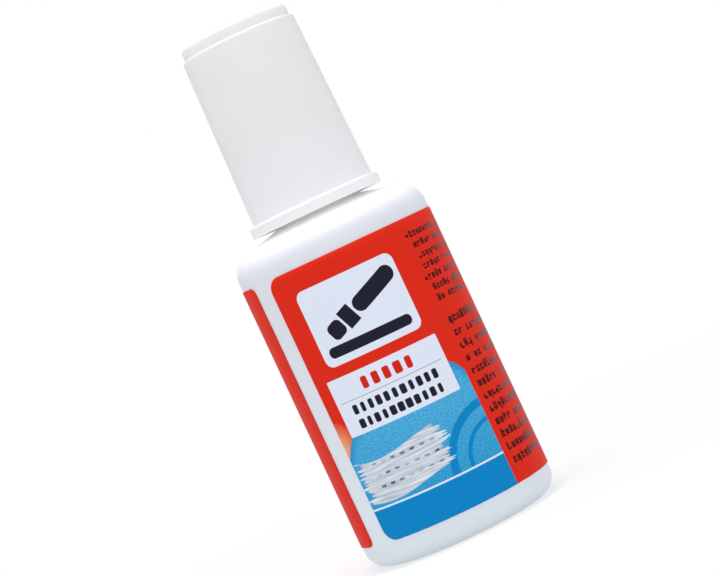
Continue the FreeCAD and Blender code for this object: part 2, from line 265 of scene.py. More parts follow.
def makeRoundedBox():
    # mask of a box with rounded corners: the distance from its inset core, less the corner's
    # radius, divided by the width of a soft edge
    sizes = {"x": 0.0, "z": 0.0, "centreX": 0.0, "centreZ": 0.0, "halfWidth": 1.0, "halfHeight": 1.0,
             "corner": 0.1, "tilt": 0.0, "soft": 0.05}
    group, put, result = newGroup("roundedBox", sizes, ["mask"])
    x = minus(group, put["x"], put["centreX"])
    z = minus(group, put["z"], put["centreZ"])
    cosine = maths(group, "COSINE", put["tilt"])
    sine = maths(group, "SINE", put["tilt"])
    along = plus(group, times(group, x, cosine), times(group, z, sine))
    across = minus(group, times(group, z, cosine), times(group, x, sine))
    outX = minus(group, maths(group, "ABSOLUTE", along), minus(group, put["halfWidth"], put["corner"]))
    outZ = minus(group, maths(group, "ABSOLUTE", across), minus(group, put["halfHeight"], put["corner"]))
    farX = maths(group, "MAXIMUM", outX, 0.0)
    farZ = maths(group, "MAXIMUM", outZ, 0.0)
    far = maths(group, "SQRT", plus(group, times(group, farX, farX), times(group, farZ, farZ)))
    near = maths(group, "MINIMUM", maths(group, "MAXIMUM", outX, outZ), 0.0)
    distance = minus(group, plus(group, far, near), put["corner"])
    edge = maths(group, "DIVIDE", distance, put["soft"])
    group.links.new(minus(group, 0.5, edge, clamp=True), result["mask"])
    return group


def makePlasticTooth():
    # moulded plastic: a fine and a broad noise give the height of a bump and a small change of
    # roughness and shade
    sizes = {"place": None, "fineScale": 9000.0, "broadScale": 180.0, "roughness": 0.4, "spread": 0.06}
    group, put, result = newGroup("plasticTooth", sizes, ["height", "roughness", "shade"])
    fineShare = 0.35
    shadeShare = 0.4
    fine = noise(group, put["place"], put["fineScale"], 3.0)
    broad = noise(group, put["place"], put["broadScale"], 4.0)
    height = plus(group, times(group, fine, fineShare), times(group, broad, 1 - fineShare))
    swing = times(group, minus(group, broad, 0.5), put["spread"])
    group.links.new(height, result["height"])
    group.links.new(plus(group, put["roughness"], swing), result["roughness"])
    group.links.new(plus(group, 1.0, times(group, swing, shadeShare)), result["shade"])
    return group


def makePrintRows():
    # mask of small print: a cell is one letter of one row, and numbers drawn for the cell say
    # which of its strokes are there and whether it stands up or hangs down; other draws leave
    # blank cells between words and end each row at its own place
    sizes = {"x": 0.0, "z": 0.0, "left": 0.0, "right": 10.0, "top": 0.0, "pitch": 1.5, "rows": 5.0,
             "letter": 0.7, "stroke": 0.43, "seed": 0.0}
    group, put, result = newGroup("printRows", sizes, ["mask"])

    def more(a, b):
        # 1 where a is more than b
        return maths(group, "GREATER_THAN", a, b)

    def less(a, b):
        # 1 where a is less than b
        return maths(group, "LESS_THAN", a, b)

    def both(a, b):
        # the part that two masks share
        return times(group, a, b)

    # levels are shares of the row's pitch, down from its top; raggedBy is in millimetres
    raggedBy = 4.0
    body = {"top": 0.32, "middle": 0.55, "foot": 0.78, "rise": 0.16, "drop": 0.14, "width": 0.80,
            "flat": 0.42}
    odds = {"rise": 0.7, "drop": 0.12, "left": 0.18, "right": 0.38, "top": 0.35, "foot": 0.72,
            "middle": 0.45, "blank": 0.13}
    down = maths(group, "DIVIDE", minus(group, put["top"], put["z"]), put["pitch"])
    row = maths(group, "FLOOR", down)
    low = minus(group, down, row)
    step = maths(group, "DIVIDE", minus(group, put["x"], put["left"]), put["letter"])
    cell = maths(group, "FLOOR", step)
    across = maths(group, "DIVIDE", minus(group, step, cell), body["width"])
    drawn = plus(group, cell, put["seed"])
    place = node(group, "CombineXYZ", in_0=drawn, in_1=row).outputs[0]
    dice = node(group, "TexWhiteNoise", noise_dimensions="2D", in_Vector=place)
    draw = node(group, "SeparateColor", in_0=dice.outputs["Color"]).outputs
    rises = more(dice.outputs["Value"], odds["rise"])
    drops = less(dice.outputs["Value"], odds["drop"])
    top = scaled(group, rises, -body["rise"], body["top"])
    foot = scaled(group, drops, body["drop"], body["foot"])
    thick = times(group, put["stroke"], body["flat"])
    leftStroke = both(less(across, put["stroke"]), more(draw[0], odds["left"]))
    rightStroke = both(more(across, minus(group, 1.0, put["stroke"])), more(draw[1], odds["right"]))
    topStroke = both(less(low, plus(group, body["top"], thick)), more(low, body["top"]))
    topStroke = both(topStroke, more(draw[2], odds["top"]))
    footStroke = both(more(low, minus(group, body["foot"], thick)), less(low, body["foot"]))
    footStroke = both(footStroke, less(draw[2], odds["foot"]))
    offMiddle = maths(group, "ABSOLUTE", minus(group, low, body["middle"]))
    middleStroke = both(less(offMiddle, times(group, thick, 0.5)), more(draw[1], odds["middle"]))
    glyph = leftStroke
    for stroke in (rightStroke, topStroke, footStroke, middleStroke):
        glyph = maths(group, "MAXIMUM", glyph, stroke)
    glyph = both(glyph, both(less(across, 1.0), both(more(low, top), less(low, foot))))
    gapPlace = node(group, "CombineXYZ", in_0=row, in_1=drawn).outputs[0]
    gap = node(group, "TexWhiteNoise", noise_dimensions="2D", in_Vector=gapPlace).outputs["Value"]
    glyph = both(glyph, maths(group, "MAXIMUM", more(gap, odds["blank"]), less(step, 1.0)))
    ragged = node(group, "TexWhiteNoise", noise_dimensions="1D", in_W=row).outputs["Value"]
    rowEnd = scaled(group, ragged, raggedBy, put["right"])
    inside = both(both(more(down, 0.0), less(down, put["rows"])),
                  both(more(step, 0.0), less(put["x"], rowEnd)))
    group.links.new(both(glyph, inside), result["mask"])
    return group


roundedBox = makeRoundedBox()
plasticTooth = makePlasticTooth()
printRows = makePrintRows()


def newMaterial(name):
    # material, its node tree and its main shader
    material = bpy.data.materials.new(name)
    material.use_nodes = True
    tree = material.node_tree
    return material, tree, tree.nodes["Principled BSDF"]


def dress(piece, material):
    # the one material of a piece
    piece.data.materials.clear()
    piece.data.materials.append(material)


def rampUp(tree, place, levels):
    # colour by height: levels are (height in millimetres, colour), and between two of them the
    # colour changes in a straight line
    low, high = levels[0][0], levels[-1][0]
    height = node(tree, "SeparateXYZ", in_0=place).outputs[2]
    share = node(tree, "MapRange", in_Value=height, in_1=low * mm, in_2=high * mm).outputs[0]
    ramp = node(tree, "ValToRGB", in_Fac=share)
    marks = ramp.color_ramp.elements
    while len(marks) < len(levels):
        marks.new(0.5)
    for mark, (level, _) in zip(marks, levels):
        mark.position = (level - low) / (high - low)
    for mark, (_, shade) in zip(marks, levels):
        mark.color = (*shade, 1.0)
    return ramp.outputs["Color"]


def joinFinish(tree, shader, colour, tooth, bump):
    # colour, and the tooth's roughness and height (depth in millimetres), to the main shader
    bumps = node(tree, "Bump", in_Strength=1.0, in_Distance=bump * mm,
                 in_Height=tooth.outputs["height"])
    feedAll(tree, shader, {"Base Color": colour, "Roughness": tooth.outputs["roughness"],
                           "Normal": bumps.outputs[0]})


plastic = {"coatRoughness": 0.25, "scatter": (1.0, 0.9, 0.8), "scatterDepth": 0.8}


def makeFinish(name, colour, roughness, bump, spread=0.08, subsurface=0.0, specular=0.5, coat=0.0,
               metallic=0.0):
    # one colour, or a list of levels for rampUp, with a little change of shade and gloss and a
    # bump (in millimetres) from the plastic's tooth
    material, tree, shader = newMaterial(name)
    place = node(tree, "TexCoord").outputs["Object"]
    tooth = useGroup(tree, plasticTooth, place=place, roughness=roughness, spread=spread)
    base = rampUp(tree, place, colour) if isinstance(colour, list) else colour
    tint = node(tree, "VectorMath", operation="SCALE", in_0=base, in_Scale=tooth.outputs["shade"])
    joinFinish(tree, shader, tint.outputs[0], tooth, bump)
    feedAll(tree, shader, {"Metallic": metallic, "Specular IOR Level": specular, "Coat Weight": coat,
                           "Coat Roughness": plastic["coatRoughness"]})
    if subsurface:
        feedAll(tree, shader, {"Subsurface Weight": subsurface, "Subsurface Radius": plastic["scatter"],
                               "Subsurface Scale": plastic["scatterDepth"] * mm})
    return material


# Camera: level with the label's top edge, a little off the axis, rolled so that the top leans left
camera = {"distance": 347.9, "aside": 0.77, "height": 42.4, "aimHeight": 36.1, "lens": 126.7, "roll": 25.0}


def makeCamera(spec):
    # looks from the front at its aim, then turns about its own line of sight
    data = bpy.data.cameras.new("view")
    data.lens = spec["lens"]
    data.sensor_width = 36.0
    data.clip_start = 0.01
    place = Vector((spec["aside"], -spec["distance"], spec["height"])) * mm
    aim = Vector((spec["aside"], 0.0, spec["aimHeight"])) * mm
    look = (aim - place).to_track_quat("-Z", "Y").to_matrix().to_4x4()
    roll = Matrix.Rotation(-math.radians(spec["roll"]), 4, "Z")
    item = bpy.data.objects.new("view", data)
    item.matrix_world = Matrix.Translation(place) @ look @ roll
    bpy.context.scene.collection.objects.link(item)
    bpy.context.scene.camera = item


makeCamera(camera)
print("camera placed")

# Bottle: blown shell with a recessed foot, a rounded shoulder and a plain neck
bottleHigh = nodeBox("bottle")[1]
capLow, capHigh = nodeBox("cap")
bottle = {
    "radius": bottleHigh[0], "rim": bottleHigh[2], "wall": 0.9, "neckRadius": 5.8, "neckBore": 4.7,
    "neckFoot": capLow[2], "shoulderDrop": 2.2, "footRound": 2.8, "shoulderRound": 3.1, "neckRound": 1.0,
    "boreRound": 0.8, "rimOutside": 0.25, "rimInside": 0.2, "recessDepth": 0.6, "recessRound": 0.4,
    "ringWidth": 2.0, "floor": 1.6, "turns": 256, "longest": 1.5, "cornerSteps": 12,
}


def makeBottle(spec):
    # outline from the middle of the foot, up the outside, over the rim and down the inside
    radius, wall = spec["radius"], spec["wall"]
    ring = radius - spec["footRound"] - spec["ringWidth"]
    inside = radius - wall
    shoulder = spec["neckFoot"] - spec["shoulderDrop"]
    outline = [
        (0.0, spec["recessDepth"], 0),
        (ring - spec["recessDepth"], spec["recessDepth"], spec["recessRound"]),
        (ring, 0.0, spec["recessRound"]),
        (radius, 0.0, spec["footRound"]),
        (radius, shoulder, spec["shoulderRound"]),
        (spec["neckRadius"], spec["neckFoot"], spec["neckRound"]),
        (spec["neckRadius"], spec["rim"], spec["rimOutside"]),
        (spec["neckBore"], spec["rim"], spec["rimInside"]),
        (spec["neckBore"], spec["neckFoot"] - wall, spec["boreRound"]),
        (inside, shoulder - wall, spec["shoulderRound"] - wall),
        (inside, spec["floor"], spec["footRound"] - wall),
        (0.0, spec["floor"], 0),
    ]
    line = addStations(roundCorners(outline, spec["cornerSteps"]), spec["longest"])
    return turnProfile("bottleShell", line, spec["turns"])


bottleShell = makeBottle(bottle)
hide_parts("bottle")
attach(bottleShell, "bottle")

neckThread = {"sink": 0.05, "crest": 6.4, "width": 1.15, "foot": 2.6, "pitch": 2.6, "turns": 1.9,
              "fade": 0.18, "steps": 72}
threadRidge = sweepRidge("neckThread", bottle["neckRadius"] - neckThread["sink"],
                         bottle["neckFoot"] + neckThread["foot"], neckThread)
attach(threadRidge, "bottle")
print("bottle and neck thread made")

# Label: one film round the wall from its left end, past the front and round the back
labelLow, labelHigh = nodeBox("label")
label = {
    "radius": labelHigh[1], "thickness": 0.1, "standOff": 0.12, "gapWidth": 3.54, "gapAngle": -53.45,
    "foot": labelLow[2], "top": labelHigh[2], "corner": 2.0, "endCorner": 1.1,
    "columns": 420, "endColumns": 14, "rows": 48, "printZero": 0.2, "grainScale": 5.5, "grainDepth": 0.35,
    "roughness": 0.5, "spread": 0.1, "toothScale": 5000.0, "bump": 0.012, "specular": 0.045,
}
label["circumference"] = 2 * math.pi * (label["radius"] - label["standOff"])
label["length"] = label["circumference"] - label["gapWidth"]
label["start"] = label["circumference"] * label["gapAngle"] / 360 + 0.5 * label["gapWidth"]


def makeLabel(spec):
    # a point (x, z) of the unrolled film is wrapped to (radius sin a, -radius cos a, z), with a
    # the share of the way round; near each end the film's height shrinks by the corner's circle,
    # c - sqrt(c^2 - (c - d)^2) at distance d from the end; a second sheet lies inside the first
    ease = 1 - np.cos(np.linspace(0, 0.5 * np.pi, spec["endColumns"]))
    first, last = spec["corner"], spec["endCorner"]
    middle = np.linspace(first, spec["length"] - last, spec["columns"])[1:-1]
    along = np.concatenate([first * ease, middle, spec["length"] - last * ease[::-1]])
    shrink = np.zeros_like(along)
    for corner, away in ((first, along), (last, spec["length"] - along)):
        near = np.clip(corner - away, 0, corner)
        shrink += corner - np.sqrt(np.maximum(corner ** 2 - near ** 2, 0))
    v = np.linspace(0, 1, spec["rows"])
    x, level = np.meshgrid(along, v, indexing="ij")
    low = spec["foot"] + shrink[:, None]
    high = spec["top"] - shrink[:, None]
    z = low + (high - low) * level
    angle = (x + spec["start"]) / spec["circumference"] * 2 * np.pi
    bodyRadius = spec["radius"] - spec["thickness"]
    # around the film's edge the section is a thin loop: outside, edge, inside, edge
    outside = np.stack([spec["radius"] * np.sin(angle), -spec["radius"] * np.cos(angle), z], axis=-1)
    inside = np.stack([bodyRadius * np.sin(angle), -bodyRadius * np.cos(angle), z], axis=-1)
    points = np.concatenate([outside, inside[:, ::-1]], axis=1)
    height = np.concatenate([z, z[:, ::-1]], axis=1)
    length = np.concatenate([x, x], axis=1)
    rows, columns = points.shape[:2]
    faces = gridFaces(rows, columns, columnLoop=True)
    # the film's two ends are closed between the sheets
    k = np.arange(spec["rows"] - 1)
    caps = []
    for start, flip in ((0, False), ((rows - 1) * columns, True)):
        inner = start + columns - 1 - k
        quad = np.stack([start + k, start + k + 1, inner - 1, inner], axis=1)
        caps.append(quad[:, ::-1] if flip else quad)
    faces = np.concatenate([faces] + caps)
    uv = np.stack([length.ravel() / spec["length"],
                   (height.ravel() - spec["foot"]) / (spec["top"] - spec["foot"])], axis=1)
    return putMesh("labelFilm", points.reshape(-1, 3), faces, uv)


labelFilm = makeLabel(label)
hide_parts("label")
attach(labelFilm, "bottle")
print("label made")

# Cap: flange at its foot, tapered skirt, stepped crown, chamber above the closure
closureHigh = nodeBox("screw_closure")[1]
washerHigh = nodeBox("seal_washer")[1]
cap = {
    "foot": capLow[2], "top": capHigh[2], "flangeRadius": capHigh[0], "flangeHeight": 1.52,
    "skirtFoot": 8.89, "skirtTop": 8.29, "crownRadius": 7.82, "crownHeight": 1.66,
    "bore": closureHigh[0] + 0.02, "chamber": 7.3, "chamberTaper": 0.45, "topWall": 1.2,
    "seat": washerHigh[2] + 1.3, "turns": 256, "longest": 2.0, "cornerSteps": 10,
}


def makeCap(spec):
    # outline from the foot of the bore, round the flange, up the skirt, over the crown and
    # back to the axis, then the inside from the ceiling down to the foot again
    step = spec["top"] - spec["crownHeight"]
    flangeTop = spec["foot"] + spec["flangeHeight"]
    ceiling = spec["top"] - spec["topWall"]
    outline = [
        (spec["bore"], spec["foot"], 0.12),
        (spec["flangeRadius"], spec["foot"], 0.14),
        (spec["flangeRadius"], flangeTop, 0.3),
        (spec["skirtFoot"], flangeTop, 0.25),
        (spec["skirtTop"], step, 0.4),
        (spec["crownRadius"], step, 0.1),
        (spec["crownRadius"], spec["top"], 0.5),
        (0.0, spec["top"], 0),
    ]
    inner = [
        (0.0, ceiling, 0),
        (spec["chamber"] - spec["chamberTaper"], ceiling, 0.3),
        (spec["chamber"], spec["seat"], 0.05),
        (spec["bore"], spec["seat"], 0.1),
    ]
    line = roundCorners(outline + inner, spec["cornerSteps"])
    line = np.concatenate([line, line[:1]])
    return turnProfile("capShell", addStations(line, spec["longest"]), spec["turns"])


capShell = makeCap(cap)
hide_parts("cap")
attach(capShell, "cap")

closureThread = {"sink": 0.05, "bore": 6.85, "crest": 6.5, "width": 1.0, "foot": 3.4, "pitch": 2.6,
                 "turns": 1.7, "fade": 0.18, "steps": 72}
innerRidge = sweepRidge("closureThread", closureThread["bore"] + closureThread["sink"],
                        cap["foot"] + closureThread["foot"], closureThread)
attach(innerRidge, "cap")
print("cap and closure thread made")

# Wiper in the neck, and the stem
wiper = {"hole": 2.15, "wall": 0.65, "funnel": 2.6, "outer": 4.68, "flangeRadius": 5.8, "flange": 0.7,
         "turns": 160, "cornerSteps": 5}
wiperLow, wiperHigh = nodeBox("neck_wiper")


def makeWiper(spec):
    # closed section: hole, cone up to the barrel, flange over the rim and back down inside
    foot, top = wiperLow[2], wiperHigh[2]
    bend = foot + spec["funnel"]
    under = top - spec["flange"]
    inner = spec["outer"] - spec["wall"]
    section = [
        (spec["hole"], foot, 0.12),
        (spec["hole"] + spec["wall"], foot, 0.15),
        (spec["outer"], bend, 0.3),
        (spec["outer"], under, 0.05),
        (spec["flangeRadius"], under, 0.1),
        (spec["flangeRadius"], top, 0.2),
        (inner, top, 0.25),
        (inner, bend, 0.3),
        (spec["hole"], foot + spec["wall"], 0.12),
    ]
    line = roundCorners(section, spec["cornerSteps"])
    return turnProfile("wiperPlug", line, spec["turns"], closed=True)


wiperPlug = makeWiper(wiper)
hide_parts("neck_wiper")
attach(wiperPlug, "bottle")

stemLow, stemHigh = nodeBox("brush_stem")
stem = {"ceiling": washerHigh[2], "collarRadius": 2.9, "collar": 0.7, "topRadius": 1.75, "tipRadius": 1.55,
        "hole": 1.05, "holeDepth": 4.6, "headRadius": 2.2, "barbDepth": 0.25, "barbPitch": 1.4, "barbs": 3,
        "turns": 96, "longest": 2.0, "cornerSteps": 5}


def makeStem(spec):
    # outline from the tuft hole, out at the tip, up the taper, round the collar, up the barbs
    tip, top = stemLow[2], stemHigh[2]
    holeTop = tip + spec["holeDepth"]
    collarFoot = spec["ceiling"] - spec["collar"]
    outline = [
        (0.0, holeTop, 0),
        (spec["hole"], holeTop, 0),
        (spec["hole"], tip, 0.08),
        (spec["tipRadius"], tip, 0.3),
        (spec["topRadius"], collarFoot, 0.3),
        (spec["collarRadius"], collarFoot, 0.2),
        (spec["collarRadius"], spec["ceiling"], 0.05),
        (spec["headRadius"], spec["ceiling"], 0),
    ]
    root = spec["headRadius"] - spec["barbDepth"]
    for barb in range(spec["barbs"]):
        level = spec["ceiling"] + (barb + 1) * spec["barbPitch"]
        outline += [(spec["headRadius"], level, 0), (root, level, 0)]
    outline += [(root, top, 0.2), (0.0, top, 0)]
    line = addStations(roundCorners(outline, spec["cornerSteps"]), spec["longest"])
    return turnProfile("stemRod", line, spec["turns"])


stemRod = makeStem(stem)
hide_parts("brush_stem")
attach(stemRod, "cap")
print("wiper and stem made")

# Brush: many tapered bristles that spread to a belly and draw in to a point, wet with fluid
bristleLow = nodeBox("brush_bristles")[0]
brush = {"count": 560, "thick": 0.055, "sides": 5, "stations": 12, "root": 0.96, "belly": 1.42,
         "bellyAt": 0.55, "tip": 0.42, "held": 0.8, "footGap": 0.15, "raggedness": 1.1, "outerShort": 0.35,
         "wander": 0.05, "wanderWaves": 1.3, "wanderTurn": 3.1, "taper": 0.65, "point": 0.25, "seed": 7}


def bundleRadius(t):
    # radius of the bundle at t, from 0 at the stem's tip to 1 at the point: it swells as a
    # smooth step to the belly and then falls as the cosine of the rest
    out = brush["root"] + (brush["belly"] - brush["root"]) * smoothStep(t / brush["bellyAt"])
    rest = np.clip((t - brush["bellyAt"]) / (1 - brush["bellyAt"]), 0, 1)
    return brush["tip"] + (out - brush["tip"]) * np.cos(0.5 * np.pi * rest ** 1.3)


goldenAngle = 2.39996


def makeBristles(spec):
    # bristle k has the sunflower place (sqrt((k + 0.5) / n), 2.4 k) in the bundle; at depth t it
    # lies at that share of the bundle's radius, with a slow sideways wander, and the ring of
    # points round it shrinks towards its end
    chance = np.random.default_rng(spec["seed"])
    k = np.arange(spec["count"])
    share = np.sqrt((k + 0.5) / spec["count"])
    turn = goldenAngle * k
    top = stemLow[2] + spec["held"]
    short = spec["outerShort"] * share ** 2 + (1 - spec["outerShort"]) * chance.random(spec["count"]) ** 2
    length = top - bristleLow[2] - spec["footGap"] - spec["raggedness"] * short
    s = np.linspace(0, 1, spec["stations"])
    z = top - length[:, None] * s[None, :]
    t = np.clip((stemLow[2] - z) / (stemLow[2] - bristleLow[2]), 0, 1)
    wander = spec["wander"] * smoothStep(t * 3) * np.sin(
        2 * np.pi * (spec["wanderWaves"] * t + chance.random((spec["count"], 1))))
    reach = share[:, None] * bundleRadius(t) - spec["thick"]
    x = reach * np.cos(turn)[:, None] + wander * np.cos(turn * spec["wanderTurn"])[:, None]
    y = reach * np.sin(turn)[:, None] + wander * np.sin(turn * spec["wanderTurn"])[:, None]
    thick = spec["thick"] * (1 - spec["taper"] * s[None, :] ** 3) * np.ones_like(z)
    thick[:, -1] *= spec["point"]
    around = np.linspace(0, 2 * np.pi, spec["sides"], endpoint=False)
    ring = np.stack([
        x[..., None] + thick[..., None] * np.cos(around),
        y[..., None] + thick[..., None] * np.sin(around),
        np.repeat(z[..., None], spec["sides"], axis=2)], axis=-1)
    one = gridFaces(spec["stations"], spec["sides"], columnLoop=True)
    faces = (one[None] + (k * spec["stations"] * spec["sides"])[:, None, None]).reshape(-1, 4)
    return putMesh("bristleStrands", ring.reshape(-1, 3), faces)


bristles = makeBristles(brush)
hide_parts("brush_bristles")
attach(bristles, "cap")

load = {"top": 16.2, "foot": 4.35, "share": 0.95, "flutes": 23, "waves": 9, "fluteDepth": 0.035,
        "fluteReach": 0.8, "fluteTwist": 0.4, "waveTwist": -0.9, "waveShare": 0.6, "thinning": 2.4,
        "rounding": 7.0, "steps": 60, "turns": 140}


def makeBrushLoad(spec):
    # fluid held between the bristles: a body of revolution just inside the bundle's radius, its
    # foot a quarter circle, its upper end thinned the same way over a longer stretch, fluted by
    # a sum of two sines round it
    z = np.linspace(spec["foot"], spec["top"], spec["steps"])
    t = (stemLow[2] - z) / (stemLow[2] - bristleLow[2])
    s = np.linspace(0, 1, spec["steps"])
    near = np.minimum(s * spec["rounding"], (1 - s) * spec["thinning"])
    swell = np.sqrt(np.clip(1 - (1 - near).clip(0) ** 2, 0, 1))
    r = spec["share"] * bundleRadius(t) * swell

    def flutes(a, r, z):
        # two sines round the bundle that turn slowly up it, weaker where it is thin
        wave = np.sin(spec["flutes"] * a + spec["fluteTwist"] * z)
        wave += spec["waveShare"] * np.sin(spec["waves"] * a + spec["waveTwist"] * z)
        return spec["fluteDepth"] * wave * np.clip(r, 0, spec["fluteReach"])

    return turnProfile("brushLoad", np.stack([r, z], axis=1), spec["turns"], ripple=flutes)


brushLoad = makeBrushLoad(load)
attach(brushLoad, "cap")
print("brush made")

# Materials
# painted light and shade by height on the bottle's white: painted shade darkening towards the foot, painted
# light on the shoulder, and under the cap's flange a painted darker band with a painted lighter strip next
# to the flange; the neck above it darkens upwards as painted shade under the cap
bottlePaintedShade = [(0.0, (0.60, 0.65, 0.71)), (1.1, (0.65, 0.70, 0.765)), (1.9, (0.69, 0.75, 0.82)),
                (3.0, (0.715, 0.775, 0.845)), (4.2, (0.74, 0.80, 0.87)), (42.2, (0.73, 0.745, 0.83)),
                (44.4, (0.76, 0.78, 0.86)), (45.8, (0.90, 0.90, 0.93)), (46.75, (0.96, 0.96, 0.95)),
                (47.1, (0.87, 0.875, 0.86)), (47.4, (0.83, 0.835, 0.82)), (47.65, (0.81, 0.815, 0.80)),
                (47.85, (0.92, 0.925, 0.905)), (48.0, (0.99, 0.99, 0.97)), (48.3, (0.99, 0.99, 0.97)),
                (48.8, (0.86, 0.86, 0.855)), (58.2, (0.78, 0.785, 0.79))]
# painted light and shade by height on the cap's white: paler and bluer at the flange, darker up the skirt,
# and painted light at the crown's top
capPaintedLight = [(48.2, (0.88, 0.875, 0.90)), (49.8, (0.85, 0.85, 0.89)), (52.2, (0.82, 0.825, 0.865)),
             (60.2, (0.80, 0.80, 0.82)), (74.1, (0.81, 0.81, 0.815)), (75.8, (0.86, 0.86, 0.86))]
whiteBottle = makeFinish("bottlePlastic", bottlePaintedShade, 0.45, 0.02, subsurface=0.1, specular=0.3)
whiteCap = makeFinish("capPlastic", capPaintedLight, 0.40, 0.012, subsurface=0.1, specular=0.3)
whiteClosure = makeFinish("closurePlastic", (0.70, 0.71, 0.72), 0.45, 0.02)
whiteWiper = makeFinish("wiperPlastic", (0.66, 0.70, 0.74), 0.35, 0.015, subsurface=0.4)
whiteStem = makeFinish("stemPlastic", (0.72, 0.73, 0.74), 0.35, 0.012, subsurface=0.1)
washerFoam = makeFinish("washerFoam", (0.74, 0.73, 0.70), 0.85, 0.08, spread=0.1)
wetFluid = makeFinish("wetFluid", (0.86, 0.86, 0.85), 0.22, 0.02, spread=0.05, coat=0.4)
nylon = makeFinish("bristleNylon", (0.78, 0.77, 0.72), 0.35, 0.004, subsurface=0.3)
anchorMetal = makeFinish("anchorMetal", (0.80, 0.62, 0.30), 0.28, 0.01, metallic=1.0)
ballSteel = makeFinish("ballSteel", (0.60, 0.60, 0.62), 0.16, 0.004, metallic=1.0)

# Label print, painted over the unrolled film: x runs from the front's middle, z from the foot
ink = {
    "red": (0.73, 0.025, 0.0095, 1), "deepRed": (0.66, 0.020, 0.010, 1), "glow": (0.90, 0.47, 0.24, 1),
    "blue": (0.003, 0.232, 0.575, 1), "sky": (0.070, 0.40, 0.70, 1), "skyDeep": (0.018, 0.30, 0.60, 1),
    "paper": (0.74, 0.80, 0.925, 1), "black": (0.016, 0.016, 0.030, 1), "word": (0.62, 0.02, 0.01, 1),
    "rule": (0.36, 0.40, 0.48, 1), "stroke": (0.78, 0.82, 0.88, 1), "strokeShade": (0.46, 0.51, 0.60, 1),
    # the small print's far ink is the same ink paled by a painted sheen, for letters towards the side
    "dash": (0.07, 0.08, 0.12, 1), "small": (0.092, 0.007, 0.009, 1), "smallPaintedSheen": (0.14, 0.115, 0.13, 1),
}
# a box is middle x and z, half width, half height, corner and sometimes tilt; a row of blocks is
# middle x and z, count, pitch, gap, height, corner and the most width that a block may lose; the
# glow is middle x and z, reach in x and reach in z
fieldPrint = {
    "field": (-1.0, 10.0, 10.45, 14.0, 0.0), "band": (-1.0, 4.0, 10.45, 4.25, 0.0),
    "line": (-1.0, 8.25, 10.45, 0.13, 0.0), "glow": (-11.6, 17.2, 3.4, 4.2),
    "edge": {"top": 22.6, "dip": 7.0, "start": -11.29, "rate": 0.244, "dropFrom": 6.9, "dropRate": 0.34,
             "softRate": 9.0},
    "sky": {"foot": 10.0, "liftRate": 0.075, "liftStart": 0.15, "grain": 0.5, "speckleScale": 3.6,
            "speckleDepth": 1.2, "rimRate": 0.5, "rimDepth": 0.75, "arcX": 9.5, "arcZ": 8.3, "arcRate": 14.0,
            "arcs": ((7.4, 0.55), (5.0, 0.3))},
    "stroke": {"z": 12.4, "half": 2.9, "wave": 0.8, "waveRate": 0.30, "waveStart": 0.6, "left": -10.4,
               "right": 2.2, "stretchX": 0.22, "stretchZ": 3.2, "fray": 6.0, "edgeRate": 7.0,
               "shadeRate": 3.0, "shadeStart": -1.05, "thinRate": -5.0, "thinStart": 3.1,
               "dashes": [(-3.4, level, 7, 1.45, 0.75, 0.32, 0.1, 0.0) for level in (10.9, 12.5, 14.1)]},
}
brushTilt = 0.42
panelPrint = {
    "upper": (-0.7, 33.5, 7.2, 5.5, 1.2),
    "brush": [(2.35, 35.45, 3.65, 1.15, 1.1, brushTilt), (-2.15, 33.42, 0.95, 1.45, 0.12, brushTilt),
              (-4.35, 32.42, 1.15, 1.2, 0.75, brushTilt), (-0.7, 29.75, 6.1, 0.75, 0.7)],
    "lower": (-0.85, 22.45, 8.35, 4.05, 0.2), "rule": (-0.85, 23.1, 7.6, 0.06, 0.0),
    "word": (-0.75, 24.65, 5, 1.6, 0.26, 1.7, 0.3, 0.5),
    "rows": [(-0.85, 21.75, 11, 1.18, 0.20, 1.35, 0.25, 0.4), (-0.85, 19.7, 11, 1.16, 0.20, 1.3, 0.25, 0.4)],
}
smallPrint = {
    "upper": {"left": 10.56, "right": 27.0, "top": 40.6, "pitch": 1.55, "rows": 7.0, "letter": 0.78,
              "seed": 40.0},
    "lower": {"left": 10.56, "right": 30.0, "top": 28.2, "pitch": 1.87, "rows": 12.0, "letter": 0.92,
              "seed": 7.0},
    "bullets": [(10.1, level, 0.26, 0.26, 0.24) for level in (39.7, 33.5)],
    # the last two set where the painted sheen on the small print begins in x and over how far it grows
    "bend": 0.36, "bendScale": 2.6, "sheenFrom": 14.0, "sheenOver": 3.5,
}


def boxMask(tree, x, z, shape):
    # rounded box of the print at its place on the film
    titles = ("centreX", "centreZ", "halfWidth", "halfHeight", "corner", "tilt")
    return useGroup(tree, roundedBox, x=x, z=z, **dict(zip(titles, shape))).outputs[0]


def blockMask(tree, x, z, row):
    # a row of blocks: x is folded into one pitch, each block loses up to spread of its width by
    # the draw of its number, and the row's ends cut it off
    cx, cz, count, pitch, gap, height, corner, spread = row
    shifted = minus(tree, x, cx - 0.5 * count * pitch)
    folded = maths(tree, "WRAP", shifted, pitch, 0.0)
    number = maths(tree, "FLOOR", maths(tree, "DIVIDE", shifted, pitch))
    draw = node(tree, "TexWhiteNoise", noise_dimensions="1D",
                in_W=plus(tree, number, cz)).outputs["Value"]
    halfWidth = scaled(tree, draw, -0.5 * spread, 0.5 * (pitch - gap))
    one = boxMask(tree, folded, z, (0.5 * pitch, cz, halfWidth, 0.5 * height, corner))
    return times(tree, one, boxMask(tree, x, z, (cx, cz, 0.5 * count * pitch, height, 0.0)))


def distanceFrom(tree, x, z, cx, cz, wide=1.0, high=1.0):
    # sqrt(((x - cx) / wide)^2 + ((z - cz) / high)^2)
    dx = maths(tree, "DIVIDE", minus(tree, x, cx), wide)
    dz = maths(tree, "DIVIDE", minus(tree, z, cz), high)
    return maths(tree, "SQRT", plus(tree, times(tree, dx, dx), times(tree, dz, dz)))


